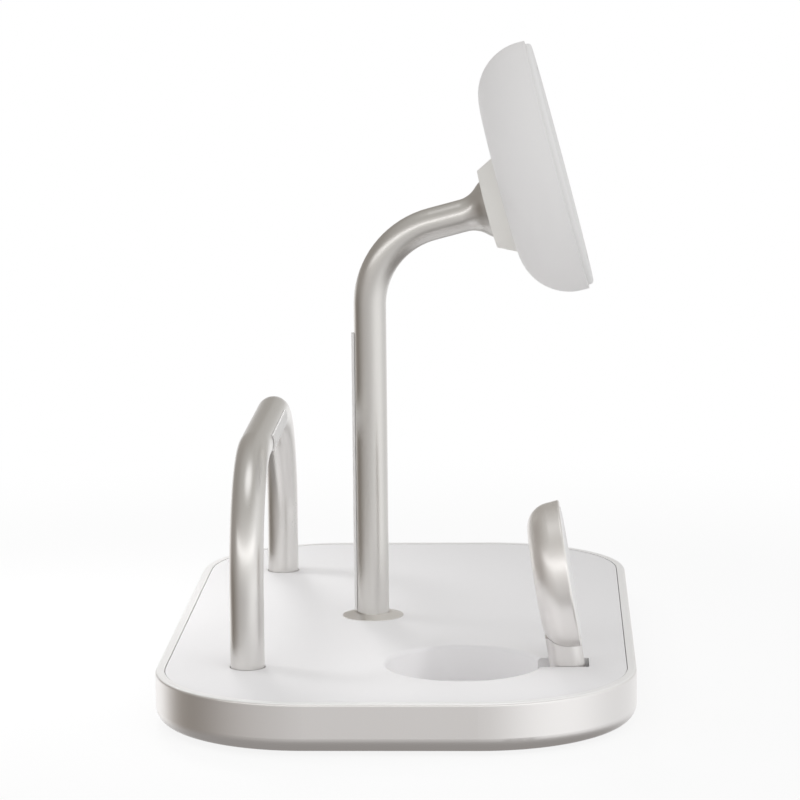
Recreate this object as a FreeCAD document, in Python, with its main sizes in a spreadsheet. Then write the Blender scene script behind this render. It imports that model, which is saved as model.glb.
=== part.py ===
import math
import os
import re

import FreeCAD
import Part
import Sketcher
from FreeCAD import Placement, Rotation, Vector

# Driving dimensions in millimetres, angles in degrees.
# +X is the side that the phone faces, +Y runs along the base, the desk is at z = 0.
SIZES = {
    # base tray, plate and foot mat
    "base_width": 106,
    "base_length": 177.2,
    "base_corner": 34.3,
    "tray_height": 10.9,
    "tray_floor": 2,
    "rim_width": 2,
    "rim_round": 0.6,
    "bottom_round": 3.3,
    "ledge_width": 1.6,
    "plate_gap": 0.15,
    "plate_drop": 0.1,
    "plate_thickness": 2.2,
    "mat_proud": 0.5,
    "mat_recess": 0.5,
    "mat_inset": 8,
    "mat_gap": 0.2,
    # screws that hold the plate down
    "boss_radius": 3,
    "boss_inset": 19,
    "boss_end_inset": 17.6,
    "screw_radius": 1.1,
    "screw_head_radius": 2.1,
    "screw_head_height": 0.8,
    "screw_length": 5,
    "screw_fit": 0.05,
    # round tubes of the post and the tablet rail
    "tube_radius": 3.8,
    "tube_wall": 1,
    "tube_fit": 0.05,
    "tube_hole_gap": 0.2,
    "socket_base": 1.4,
    "socket_wall": 1.6,
    "socket_height": 5.4,
    "socket_flange_radius": 9,
    "socket_screw_circle": 7.2,
    "socket_screw_radius": 0.8,
    "socket_screw_head_radius": 1.4,
    "socket_screw_head_height": 0.9,
    "socket_screw_depth": 1,
    # phone post
    "post_x": -7.6,
    "post_height": 73.66,
    "bend_radius": 19.5,
    "head_rise": 14.7,
    "arm_straight": 7.1,
    "collar_radius": 7.15,
    "collar_lip": 0.15,
    "collar_height": 0.9,
    "collar_land": 0.6,
    "strip_width": 2.2,
    "strip_proud": 0.6,
    "strip_start": 1.6,
    "strip_length": 65.6,
    # ball joint
    "ball_radius": 7.8,
    "neck_round": 6,
    "neck_land": 0.5,
    "ball_gap": 0.2,
    "liner_wall": 0.9,
    "liner_edge": 62,
    "ring_edge": 60,
    "ring_mouth": 30,
    "ring_land": 0.5,
    "bore_gap": 0.3,
    "spin_gap": 0.2,
    "spigot_wall": 1,
    "washer_gap": 0.1,
    "washer_thickness": 0.6,
    "washer_hole": 5.4,
    "cap_thickness": 1,
    "cap_hole": 4,
    "wire_hole": 3,
    "collar_back": 3.9,
    "collar_rear_radius": 9.2,
    "collar_front_radius": 11.4,
    "nut_radius": 11.4,
    "nut_height": 3,
    "thread_fit": 0.05,
    # phone head
    "head_offset": 5.8,
    "bowl_back": 0.5,
    "bowl_depth": 13.8,
    "bowl_radius": 29.5,
    "bowl_round": 12.2,
    "bowl_wall": 1.8,
    "bowl_rim_round": 0.25,
    "pad_radius": 28.65,
    "pad_thickness": 1.3,
    "pad_round": 0.8,
    "pad_lip": 1.6,
    "pad_lip_wall": 1.2,
    "pad_fit": 0.1,
    "groove_radius": 22.4,
    "groove_width": 0.8,
    "groove_depth": 0.3,
    "phone_coil_inner": 9,
    "phone_coil_outer": 21.4,
    "phone_coil_thickness": 1,
    "phone_ferrite_thickness": 0.6,
    "magnet_inner": 22.8,
    "magnet_outer": 26,
    "magnet_thickness": 1.8,
    "magnet_count": 16,
    "magnet_share": 0.9,
    "head_board_radius": 19,
    "head_board_thickness": 0.8,
    # tablet rail
    "rail_setback": 20.2,
    "rail_end_setback": 35.1,
    "rail_height": 44.3,
    "rail_bend": 28,
    "rail_pad_length": 38,
    "rail_pad_width": 3.6,
    "rail_pad_proud": 0.4,
    # watch charger that folds into its well
    "watch_setback": 39.1,
    "hinge_setback": 14.7,
    "hinge_drop": 3.65,
    "watch_lean": 9,
    "watch_reach": 23.57,
    "puck_radius": 16.28,
    "puck_thickness": 7.85,
    "puck_draft": 6,
    "puck_round": 5.5,
    "puck_front_round": 0.4,
    "puck_wall": 1.5,
    "stem_half_width": 3.85,
    "stem_half_depth": 4.1,
    "stem_corner": 2.8,
    "stem_ledge": 3,
    "stem_fit": 0.05,
    "tenon_half_width": 2.3,
    "tenon_half_depth": 3,
    "tenon_corner": 0.6,
    "tenon_depth": 3.85,
    "face_seat": 1.2,
    "face_proud": 0.15,
    "face_fit": 0.1,
    "face_round": 0.7,
    "dish_radius": 13,
    "dish_depth": 0.6,
    "watch_coil_inner": 5.6,
    "watch_coil_outer": 11.6,
    "watch_coil_thickness": 1,
    "watch_ferrite_thickness": 0.5,
    "watch_magnet_radius": 5,
    "watch_magnet_thickness": 2.4,
    "well_gap": 0.8,
    "well_depth_gap": 0.4,
    "well_wall": 1.2,
    "well_edge_round": 1,
    "slot_half_width": 4.4,
    "slot_end_gap": 0.45,
    "slot_corner": 0.5,
    "hinge_pin_radius": 1.2,
    "hinge_pin_gap": 0.05,
    "hinge_side_gap": 0.3,
    "ear_thickness": 1.6,
    "ear_radius": 2.4,
    "ear_round": 2.2,
    "bracket_base": 0.9,
    "bracket_half_length": 11,
    "bracket_screw_along": 8.4,
    "relief_gap": 0.25,
    # boards, inlet, earbud coil and ballast
    "board_socket_gap": 2.2,
    "board_end_gap": 6.5,
    "board_thickness": 1.2,
    "board_lift": 0.9,
    "board_wall_gap": 0.6,
    "board_corner": 2,
    "board_screw_inset": 3,
    "board_boss_radius": 2.4,
    "board_screw_radius": 0.8,
    "board_screw_head_radius": 1.5,
    "board_screw_head_height": 0.9,
    "board_screw_depth": 0.8,
    "chip_height": 0.9,
    "chip_side": 7,
    "chip_corner": 0.5,
    "chip_along": 14,
    "choke_height": 3,
    "choke_side": 6.4,
    "choke_corner": 1,
    "choke_along": 28,
    "inlet_width": 8.9,
    "inlet_height": 3.2,
    "inlet_corner": 1.2,
    "inlet_length": 7.4,
    "inlet_wall": 0.3,
    "inlet_gap": 0.2,
    "inlet_back": 1.2,
    "tongue_width": 6.7,
    "tongue_height": 0.7,
    "tongue_corner": 0.2,
    "tongue_length": 5.2,
    "earbud_coil_inner": 8,
    "earbud_coil_outer": 20,
    "earbud_coil_thickness": 1,
    "earbud_ferrite_radius": 21.5,
    "earbud_ferrite_thickness": 0.8,
    "ballast_width": 36,
    "ballast_thickness": 4,
    "ballast_setback": 27,
    "ballast_gap": 6.2,
    "ballast_corner": 3,
    # how far a cutting outline reaches past the solid it trims
    "cut_margin": 1,
}

# Levels and places worked out from the driving dimensions
FLOOR_TOP = "(mat_proud + tray_floor)"
RIM_TOP = "(mat_proud + tray_height)"
PLATE_TOP = "(mat_proud + tray_height - plate_drop)"
PLATE_UNDER = f"({PLATE_TOP} - plate_thickness)"
MAT_TOP = "(mat_proud + mat_recess)"
BOSS_ACROSS = "(base_width / 2 - boss_inset)"
BOSS_ALONG = "(base_length / 2 - boss_end_inset)"
RAIL_X = "(rail_setback - base_width / 2)"
RAIL_HALF_SPAN = "(base_length / 2 - rail_end_setback)"
HINGE_X = "(base_width / 2 - hinge_setback)"
WATCH_Y = "(watch_setback - base_length / 2)"
HINGE_Z = f"({PLATE_TOP} - hinge_drop)"
WELL_X = f"({HINGE_X} - watch_reach)"
WELL_RADIUS = "(puck_radius + well_gap)"
WELL_DEPTH = "(hinge_drop + puck_thickness / 2 + well_depth_gap)"
TUBE_FOOT = f"({FLOOR_TOP} + socket_base)"
RAIL_Z = f"({PLATE_TOP} + rail_height)"
BORE = "(tube_radius - tube_wall)"
BEND_TANGENT = "(bend_radius * tan(45 - head_rise / 2))"
ARM_CORNER_Z = f"({PLATE_TOP} + post_height + {BEND_TANGENT})"
NECK_REACH = f"({BEND_TANGENT} + arm_straight)"
NECK_DROP = "sqrt((ball_radius + neck_round) ^ 2 - (tube_radius + neck_round) ^ 2)"
NECK_LENGTH = f"({NECK_DROP} + neck_land)"
BALL_X = f"(post_x + ({NECK_REACH} + {NECK_LENGTH}) * cos(head_rise))"
BALL_Z = f"({ARM_CORNER_Z} + ({NECK_REACH} + {NECK_LENGTH}) * sin(head_rise))"
SEAT = "(ball_radius + ball_gap)"
LINER_OUTER = f"({SEAT} + liner_wall)"
RING_SEAT = f"({LINER_OUTER} + ball_gap)"
RING_FRONT = f"({RING_SEAT} + ring_land)"
SOCKET_BORE = f"({RING_SEAT} + bore_gap)"
SPIGOT_RADIUS = f"({SOCKET_BORE} + spigot_wall)"
WASHER_Z = f"({RING_FRONT} + washer_gap)"
CAP_Z = f"({WASHER_Z} + washer_thickness)"
SPIGOT_TOP = f"({CAP_Z} + cap_thickness)"
BOWL_RIM = "(bowl_back + bowl_depth)"
BOWL_INSIDE = "(bowl_radius - bowl_wall)"
BOARD_UNDER = f"({FLOOR_TOP} + board_lift)"
BOARD_TOP = f"({BOARD_UNDER} + board_thickness)"
CAVITY_BACK = "(-base_width / 2 + rim_width + ledge_width)"
BOARD_BACK = f"({CAVITY_BACK} + board_wall_gap)"
BOARD_WIDTH = f"(post_x - socket_flange_radius - board_socket_gap - {BOARD_BACK})"
BOARD_LENGTH = f"(2 * ({RAIL_HALF_SPAN} - socket_flange_radius - board_end_gap))"
BOARD_X = f"({BOARD_BACK} + {BOARD_WIDTH} / 2)"
INLET_Z = f"({BOARD_TOP} + inlet_height / 2)"
FACE_BACK = "(puck_thickness / 2 - face_seat)"
FACE_FRONT = "(puck_thickness / 2 + face_proud)"
PUCK_BACK = "(puck_radius - puck_thickness * tan(puck_draft))"
PUCK_X = f"({HINGE_X} - watch_reach * sin(watch_lean))"
PUCK_Z = f"({HINGE_Z} + watch_reach * cos(watch_lean))"
BALLAST_LOW = f"({WATCH_Y} + {WELL_RADIUS} + well_wall + ballast_gap)"
BALLAST_HIGH = f"(-{WATCH_Y} - earbud_ferrite_radius - ballast_gap)"

# Lengths that differ by less than this are equal
TOLERANCE = 1e-4

doc = FreeCAD.newDocument("wireless_charger")
sheet = doc.addObject("Spreadsheet::Sheet", "Sizes")
for row, (alias, number) in enumerate(SIZES.items(), start=1):
    sheet.set(f"A{row}", alias)
    sheet.set(f"B{row}", str(number))
    sheet.setAlias(f"B{row}", alias)
doc.recompute()

pieces = []


def formula(text):
    """Points every size named in the text at its cell."""
    return re.sub(r"[a-z_]+", lambda word: f"Sizes.{word[0]}" if word[0] in SIZES else word[0], str(text))


def value(text):
    return float(sheet.evalExpression(formula(text)))


def bind(thing, path, text):
    thing.setExpression(path, formula(text))


def new_piece(name):
    body = doc.addObject("PartDesign::Body", name)
    body.Label = name
    body.AllowCompound = True
    pieces.append(body)
    return body


def place(body, across=0, along=0, up=0, turn=0):
    """Moves a piece and turns it about Y, by formulas."""
    spot = Vector(value(across), value(along), value(up))
    body.Placement = Placement(spot, Rotation(Vector(0, 1, 0), value(turn)))
    bind(body, "Placement.Base.x", across)
    bind(body, "Placement.Base.y", along)
    bind(body, "Placement.Base.z", up)
    if turn:
        bind(body, "Placement.Rotation.Angle", turn)


def draw(body, role, height=0, rise=0):
    """Opens a sketch on one of the body's planes, lifted along its normal, its origin moved up in it."""
    plane = next(item for item in body.Origin.OriginFeatures if item.Role == role)
    drawing = body.newObject("Sketcher::SketchObject", f"{body.Name}_sketch")
    drawing.AttachmentSupport = [(plane, "")]
    drawing.MapMode = "FlatFace"
    drawing.AttachmentOffset = Placement(Vector(0, value(rise), value(height)), Rotation())
    bind(drawing, "AttachmentOffset.Base.y", rise)
    bind(drawing, "AttachmentOffset.Base.z", height)
    return drawing


def constrain(drawing, kind, places, text):
    index = drawing.addConstraint(Sketcher.Constraint(kind, *places, value(text)))
    bind(drawing, f"Constraints[{index}]", text)


def pin(drawing, item, end, across, up):
    constrain(drawing, "DistanceX", (-1, 1, item, end), across)
    constrain(drawing, "DistanceY", (-1, 1, item, end), up)


def circle(drawing, across, up, radius):
    round_line = Part.Circle(Vector(value(across), value(up), 0), Vector(0, 0, 1), value(radius))
    item = drawing.addGeometry(round_line, False)
    pin(drawing, item, 3, across, up)
    constrain(drawing, "Radius", (item,), radius)


class Arc:
    """Joins the corners beside it in an outline: turn is 1 to the left and -1 to the right."""

    def __init__(self, radius, turn):
        self.radius = radius
        self.turn = turn


def arc_between(start, end, radius, turn):
    """Gives the shorter arc, and which of its ends is the start of the travel."""
    chord = end - start
    side = Vector(-chord.y, chord.x, 0).normalize() * turn
    rise = max(radius ** 2 - (chord.Length / 2) ** 2, 0) ** 0.5
    centre = start + chord * 0.5 + side * rise
    first, last = (start, end) if turn > 0 else (end, start)
    angles = [math.atan2(point.y - centre.y, point.x - centre.x) for point in (first, last)]
    if angles[1] < angles[0]:
        angles[1] += 2 * math.pi
    curve = Part.ArcOfCircle(Part.Circle(centre, Vector(0, 0, 1), radius), *angles)
    return curve, (1, 2) if turn > 0 else (2, 1)


def outline(drawing, path, closed=True):
    """Draws a line through corners (x, y), rounded ones (x, y, radius) and Arcs, every size bound."""
    corners = []
    arcs = {}
    for step in path:
        if isinstance(step, Arc):
            arcs[len(corners) - 1] = step
        else:
            corners.append(step)
    points = [Vector(value(corner[0]), value(corner[1]), 0) for corner in corners]
    count = len(corners)
    edges = []
    for index in range(count if closed else count - 1):
        start, end = points[index], points[(index + 1) % count]
        if index in arcs:
            curve, ends = arc_between(start, end, value(arcs[index].radius), arcs[index].turn)
            item = drawing.addGeometry(curve, False)
            constrain(drawing, "Radius", (item,), arcs[index].radius)
            edges.append((item, *ends))
            continue
        along = (end - start).normalize()
        start = start + along * setback(points, corners, index)
        end = end - along * setback(points, corners, (index + 1) % count)
        edges.append((drawing.addGeometry(Part.LineSegment(start, end), False), 1, 2))
    for index, corner in enumerate(corners):
        before = edges[index - 1] if closed or index else None
        after = edges[index] if index < len(edges) else None
        if len(corner) == 3:
            round_corner(drawing, before, after, corner, points[index])
        else:
            if before and after:
                ends = (before[0], before[2], after[0], after[1])
                drawing.addConstraint(Sketcher.Constraint("Coincident", *ends))
            item, end = (after[0], after[1]) if after else (before[0], before[2])
            pin(drawing, item, end, corner[0], corner[1])


def setback(points, corners, index):
    """The length that a rounded corner takes off each of its lines."""
    if len(corners[index]) < 3:
        return 0
    before = points[index - 1] - points[index]
    after = points[(index + 1) % len(points)] - points[index]
    half = before.getAngle(after) / 2
    return value(corners[index][2]) / math.tan(half)


def round_corner(drawing, before, after, corner, point):
    """Rounds the corner between two lines with a tangent arc of the stated radius."""
    lines = drawing.Geometry
    start, end = lines[before[0]].EndPoint, lines[after[0]].StartPoint
    turn = 1 if (point - start).cross(end - point).z > 0 else -1
    curve, ends = arc_between(start, end, value(corner[2]), turn)
    arc = drawing.addGeometry(curve, False)
    mark = drawing.addGeometry(Part.Point(point), True)
    pin(drawing, mark, 1, corner[0], corner[1])
    drawing.addConstraint(Sketcher.Constraint("PointOnObject", mark, 1, before[0]))
    drawing.addConstraint(Sketcher.Constraint("PointOnObject", mark, 1, after[0]))
    drawing.addConstraint(Sketcher.Constraint("Tangent", before[0], before[2], arc, ends[0]))
    drawing.addConstraint(Sketcher.Constraint("Tangent", arc, ends[1], after[0], after[1]))
    constrain(drawing, "Radius", (arc,), corner[2])


def rectangle(drawing, width, length, corner, across=0, up=0):
    left, right = f"{across} - ({width}) / 2", f"{across} + ({width}) / 2"
    low, high = f"{up} - ({length}) / 2", f"{up} + ({length}) / 2"
    corners = [(left, low), (right, low), (right, high), (left, high)]
    outline(drawing, [(*place_of, corner) for place_of in corners])


def base_outline(drawing, inset):
    """The rounded outline of the base, drawn in from its edge."""
    rectangle(drawing, f"base_width - 2 * ({inset})", f"base_length - 2 * ({inset})",
              f"base_corner - ({inset})")


def add(body, kind, drawing, **settings):
    feature = body.newObject(f"PartDesign::{kind}", f"{body.Name}_{kind.lower()}")
    feature.Profile = drawing
    for name, setting in settings.items():
        setattr(feature, name, setting)
    return feature


def pad(body, drawing, length, **settings):
    bind(add(body, "Pad", drawing, **settings), "Length", length)
    doc.recompute()


def cut(body, drawing, depth, **settings):
    """Pockets the body and makes sure that the cut met the solid."""
    before = body.Shape.Volume
    bind(add(body, "Pocket", drawing, **settings), "Length", depth)
    doc.recompute()
    if body.Shape.Volume > before - TOLERANCE:
        raise RuntimeError(f"{body.Label}: a cut missed the solid")


def revolve(body, path):
    drawing = draw(body, "XZ_Plane")
    outline(drawing, path)
    add(body, "Revolution", drawing, ReferenceAxis=(drawing, ["V_Axis"]), Angle=360)
    doc.recompute()


def sweep(body, drawing, route):
    edges = [f"Edge{index + 1}" for index in range(len(route.Shape.Edges))]
    add(body, "AdditivePipe", drawing, Spine=(route, edges))
    doc.recompute()


def round_edges(body, level, radius, chosen=lambda edge: True):
    """Fillets the edges that lie flat at a level."""
    base = body.Tip
    height = value(level)
    names = []
    for index, edge in enumerate(base.Shape.Edges, start=1):
        box = edge.BoundBox
        if max(abs(box.ZMin - height), abs(box.ZMax - height)) < TOLERANCE and chosen(edge):
            names.append(f"Edge{index}")
    feature = body.newObject("PartDesign::Fillet", f"{body.Name}_fillet")
    feature.Base = (base, names)
    bind(feature, "Radius", radius)
    doc.recompute()


def ring(name, inner, outer, low, high):
    """A flat ring about its own Z axis."""
    body = new_piece(name)
    revolve(body, [(inner, low), (outer, low), (outer, high), (inner, high)])
    return body


def boss_places():
    """Where the six screws hold the plate: four near the corners and two at the ends."""
    return [(f"{side} * {BOSS_ACROSS}", f"{end} * {BOSS_ALONG}") for end in (-1, 1) for side in (-1, 0, 1)]


def board_screw_places():
    width, length = f"({BOARD_WIDTH} / 2 - board_screw_inset)", f"({BOARD_LENGTH} / 2 - board_screw_inset)"
    return [(f"{BOARD_X} + {side} * {width}", f"{end} * {length}") for end in (-1, 1) for side in (-1, 1)]


def tube_places():
    return [("post_x", "0"), (RAIL_X, f"-{RAIL_HALF_SPAN}"), (RAIL_X, RAIL_HALF_SPAN)]


def socket_screw_places():
    """Three screws round the foot of each tube."""
    return [(f"{across} + socket_screw_circle * cos({angle})",
             f"{along} + socket_screw_circle * sin({angle})")
            for across, along in tube_places() for angle in (60, 180, 300)]


def circles(drawing, places, radius):
    for across, along in places:
        circle(drawing, across, along, radius)


def make_tray():
    """Aluminium tray: rounded bottom edge, seat for the plate, bosses, and holes in its floor."""
    body = new_piece("base_tray")
    drawing = draw(body, "XY_Plane", "mat_proud")
    base_outline(drawing, 0)
    pad(body, drawing, "tray_height")
    round_edges(body, "mat_proud", "bottom_round")
    round_edges(body, RIM_TOP, "rim_round")
    for inset, depth in (("rim_width", "plate_drop + plate_thickness"),
                         ("rim_width + ledge_width", "tray_height - tray_floor")):
        drawing = draw(body, "XY_Plane", RIM_TOP)
        base_outline(drawing, inset)
        cut(body, drawing, depth)
    drawing = draw(body, "XY_Plane", "mat_proud")
    base_outline(drawing, "mat_inset")
    cut(body, drawing, "mat_recess", Reversed=True)
    drawing = draw(body, "XY_Plane", FLOOR_TOP)
    circles(drawing, board_screw_places(), "board_boss_radius")
    pad(body, drawing, "board_lift")
    drawing = draw(body, "XY_Plane", BOARD_UNDER)
    circles(drawing, board_screw_places(), "board_screw_radius + screw_fit")
    cut(body, drawing, "board_lift + board_screw_depth")
    drawing = draw(body, "XY_Plane", FLOOR_TOP)
    circles(drawing, socket_screw_places() + bracket_screw_places(), "socket_screw_radius + screw_fit")
    cut(body, drawing, "socket_screw_depth")
    drawing = draw(body, "XY_Plane", MAT_TOP)
    circles(drawing, boss_places(), "screw_head_radius + screw_fit")
    cut(body, drawing, "screw_head_height", Reversed=True)
    drawing = draw(body, "XY_Plane", MAT_TOP)
    circles(drawing, boss_places(), "screw_radius + screw_fit")
    cut(body, drawing, "tray_floor", Reversed=True)
    drawing = draw(body, "YZ_Plane", "-base_width / 2")
    rectangle(drawing, "inlet_width + 2 * inlet_gap", "inlet_height + 2 * inlet_gap",
              "inlet_corner + inlet_gap", up=INLET_Z)
    cut(body, drawing, "rim_width + ledge_width + cut_margin", Reversed=True)


def make_plate():
    """White plate with the watch well, the slot for its stem, and bosses that stand on the tray."""
    body = new_piece("top_plate")
    drawing = draw(body, "XY_Plane", PLATE_UNDER)
    base_outline(drawing, "rim_width + plate_gap")
    pad(body, drawing, "plate_thickness")
    drawing = draw(body, "XY_Plane", FLOOR_TOP)
    circle(drawing, WELL_X, WATCH_Y, f"{WELL_RADIUS} + well_wall")
    circles(drawing, boss_places(), "boss_radius")
    pad(body, drawing, f"{PLATE_UNDER} - {FLOOR_TOP}")
    drawing = draw(body, "XY_Plane", PLATE_TOP)
    circle(drawing, WELL_X, WATCH_Y, WELL_RADIUS)
    cut(body, drawing, WELL_DEPTH)
    round_edges(body, PLATE_TOP, "well_edge_round", is_well_edge)
    drawing = draw(body, "XY_Plane", PLATE_TOP)
    end = f"({HINGE_X} + stem_half_width + slot_end_gap)"
    low, high = f"({WATCH_Y} - slot_half_width)", f"({WATCH_Y} + slot_half_width)"
    outline(drawing, [(WELL_X, low), (end, low, "slot_corner"), (end, high, "slot_corner"), (WELL_X, high)])
    cut(body, drawing, WELL_DEPTH)
    drawing = draw(body, "XY_Plane", PLATE_UNDER)
    side = "(stem_half_depth + hinge_side_gap + ear_thickness + relief_gap)"
    rectangle(drawing, "2 * (ear_radius + relief_gap)", f"2 * {side}", "slot_corner", HINGE_X, WATCH_Y)
    cut(body, drawing, f"{HINGE_Z} + ear_radius + relief_gap - {PLATE_UNDER}", Reversed=True)
    drawing = draw(body, "XY_Plane", PLATE_TOP)
    circles(drawing, tube_places(), "tube_radius + tube_hole_gap")
    cut(body, drawing, "plate_thickness")
    drawing = draw(body, "XY_Plane", FLOOR_TOP)
    circles(drawing, boss_places(), "screw_radius + screw_fit")
    depth = "screw_length - tray_floor + mat_recess + screw_head_height + screw_fit"
    cut(body, drawing, depth, Reversed=True)


def is_well_edge(edge):
    """Picks the round mouth of the well among the plate's edges."""
    return hasattr(edge.Curve, "Radius") and abs(edge.Curve.Radius - value(WELL_RADIUS)) < TOLERANCE


def make_foot_mat():
    body = new_piece("foot_mat")
    drawing = draw(body, "XY_Plane")
    base_outline(drawing, "mat_inset + mat_gap")
    pad(body, drawing, MAT_TOP)


def make_screws(name, places, seat, head, shank, downward):
    """A group of equal screws: the head stands on its seat and the shank goes through it."""
    head_radius, head_height = head
    shank_radius, shank_length = shank
    body = new_piece(name)
    drawing = draw(body, "XY_Plane", seat)
    circles(drawing, places, head_radius)
    pad(body, drawing, head_height, Reversed=not downward)
    drawing = draw(body, "XY_Plane", seat)
    circles(drawing, places, shank_radius)
    pad(body, drawing, shank_length, Reversed=downward)


def make_fasteners():
    make_screws("plate_screws", boss_places(), f"{MAT_TOP} + screw_head_height",
                ("screw_head_radius", "screw_head_height"), ("screw_radius", "screw_length"), False)
    small = ("socket_screw_head_radius", "socket_screw_head_height")
    make_screws("socket_screws", socket_screw_places(), TUBE_FOOT, small,
                ("socket_screw_radius", "socket_base + socket_screw_depth - screw_fit"), True)
    make_screws("bracket_screws", bracket_screw_places(), f"{FLOOR_TOP} + bracket_base", small,
                ("socket_screw_radius", "bracket_base + socket_screw_depth - screw_fit"), True)
    grip = "board_thickness + board_lift + board_screw_depth - screw_fit"
    make_screws("board_screws", board_screw_places(), BOARD_TOP,
                ("board_screw_head_radius", "board_screw_head_height"), ("board_screw_radius", grip), True)


def make_sockets():
    """Flanged sleeves on the tray floor that hold the feet of the tubes."""
    outer = "tube_radius + tube_fit + socket_wall"
    for name, places in (("post_socket", tube_places()[:1]), ("rail_sockets", tube_places()[1:])):
        body = new_piece(name)
        for radius, height in (("socket_flange_radius", "socket_base"), (outer, "socket_height")):
            drawing = draw(body, "XY_Plane", FLOOR_TOP)
            circles(drawing, places, radius)
            pad(body, drawing, height)
        drawing = draw(body, "XY_Plane", f"{FLOOR_TOP} + socket_height")
        circles(drawing, places, "tube_radius + tube_fit")
        cut(body, drawing, "socket_height - socket_base")
        screws = socket_screw_places()[:3] if name == "post_socket" else socket_screw_places()[3:]
        drawing = draw(body, "XY_Plane", TUBE_FOOT)
        circles(drawing, screws, "socket_screw_radius + screw_fit")
        cut(body, drawing, "socket_base")


def make_tube(name, plane, height, route, across, along):
    """A bent tube: a ring swept from its foot along straight runs and tangent bends."""
    body = new_piece(name)
    spine = draw(body, plane, height)
    outline(spine, route, closed=False)
    doc.recompute()
    section = draw(body, "XY_Plane", TUBE_FOOT)
    circle(section, across, along, "tube_radius")
    circle(section, across, along, BORE)
    sweep(body, section, spine)
    return body


def make_post():
    """Phone post: a tube that bends forward, its ball end, the ring on the plate and the bumper strip."""
    neck = (f"post_x + {NECK_REACH} * cos(head_rise)", f"{ARM_CORNER_Z} + {NECK_REACH} * sin(head_rise)")
    route = [("post_x", TUBE_FOOT), ("post_x", ARM_CORNER_Z, "bend_radius"), neck]
    make_tube("post_arm", "XZ_Plane", 0, route, "post_x", "0")
    ball = new_piece("arm_ball")
    share = "(ball_radius / (ball_radius + neck_round))"
    revolve(ball, [(BORE, f"-{NECK_LENGTH}"), ("tube_radius", f"-{NECK_LENGTH}"),
                   ("tube_radius", f"-{NECK_DROP}"), Arc("neck_round", -1),
                   (f"(tube_radius + neck_round) * {share}", f"-{NECK_DROP} * {share}"),
                   Arc("ball_radius", 1),
                   (BORE, f"sqrt(ball_radius ^ 2 - {BORE} ^ 2)")])
    place(ball, BALL_X, 0, BALL_Z, "90 - head_rise")
    collar = new_piece("post_collar")
    inner = "tube_radius + tube_fit"
    revolve(collar, [(inner, "0"), ("collar_radius", "0"), ("collar_radius", "collar_lip"),
                     ("tube_radius + collar_land", "collar_height"), (inner, "collar_height")])
    place(collar, "post_x", 0, PLATE_TOP)
    strip = new_piece("post_strip")
    drawing = draw(strip, "XY_Plane")
    bow(drawing, "strip_width / 2", "strip_proud", -1)
    pad(strip, drawing, "strip_length")
    place(strip, "post_x", 0, f"{PLATE_TOP} + strip_start")


def bow(drawing, half, proud, side):
    """The section of a thin strip on a tube, on the side of the tube that is given by its sign."""
    inner, outer = "(tube_radius + tube_fit)", f"(tube_radius + {proud})"
    near, far = f"{side} * sqrt({inner} ^ 2 - ({half}) ^ 2)", f"{side} * sqrt({outer} ^ 2 - ({half}) ^ 2)"
    outline(drawing, [(near, f"{side} * ({half})"), Arc(inner, -1), (near, f"-({side}) * ({half})"),
                      (far, f"-({side}) * ({half})"), Arc(outer, 1), (far, f"{side} * ({half})")])


def make_rail():
    """Inverted U that a tablet leans on, with a soft pad on the front of its crossbar."""
    route = [(f"-{RAIL_HALF_SPAN}", TUBE_FOOT), (f"-{RAIL_HALF_SPAN}", RAIL_Z, "rail_bend"),
             (RAIL_HALF_SPAN, RAIL_Z, "rail_bend"), (RAIL_HALF_SPAN, TUBE_FOOT)]
    make_tube("tablet_rail", "YZ_Plane", RAIL_X, route, RAIL_X, f"-{RAIL_HALF_SPAN}")
    soft = new_piece("rail_pad")
    drawing = draw(soft, "XZ_Plane", "-rail_pad_length / 2")
    bow(drawing, "rail_pad_width / 2", "rail_pad_proud", 1)
    pad(soft, drawing, "rail_pad_length")
    place(soft, RAIL_X, 0, RAIL_Z)


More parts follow.
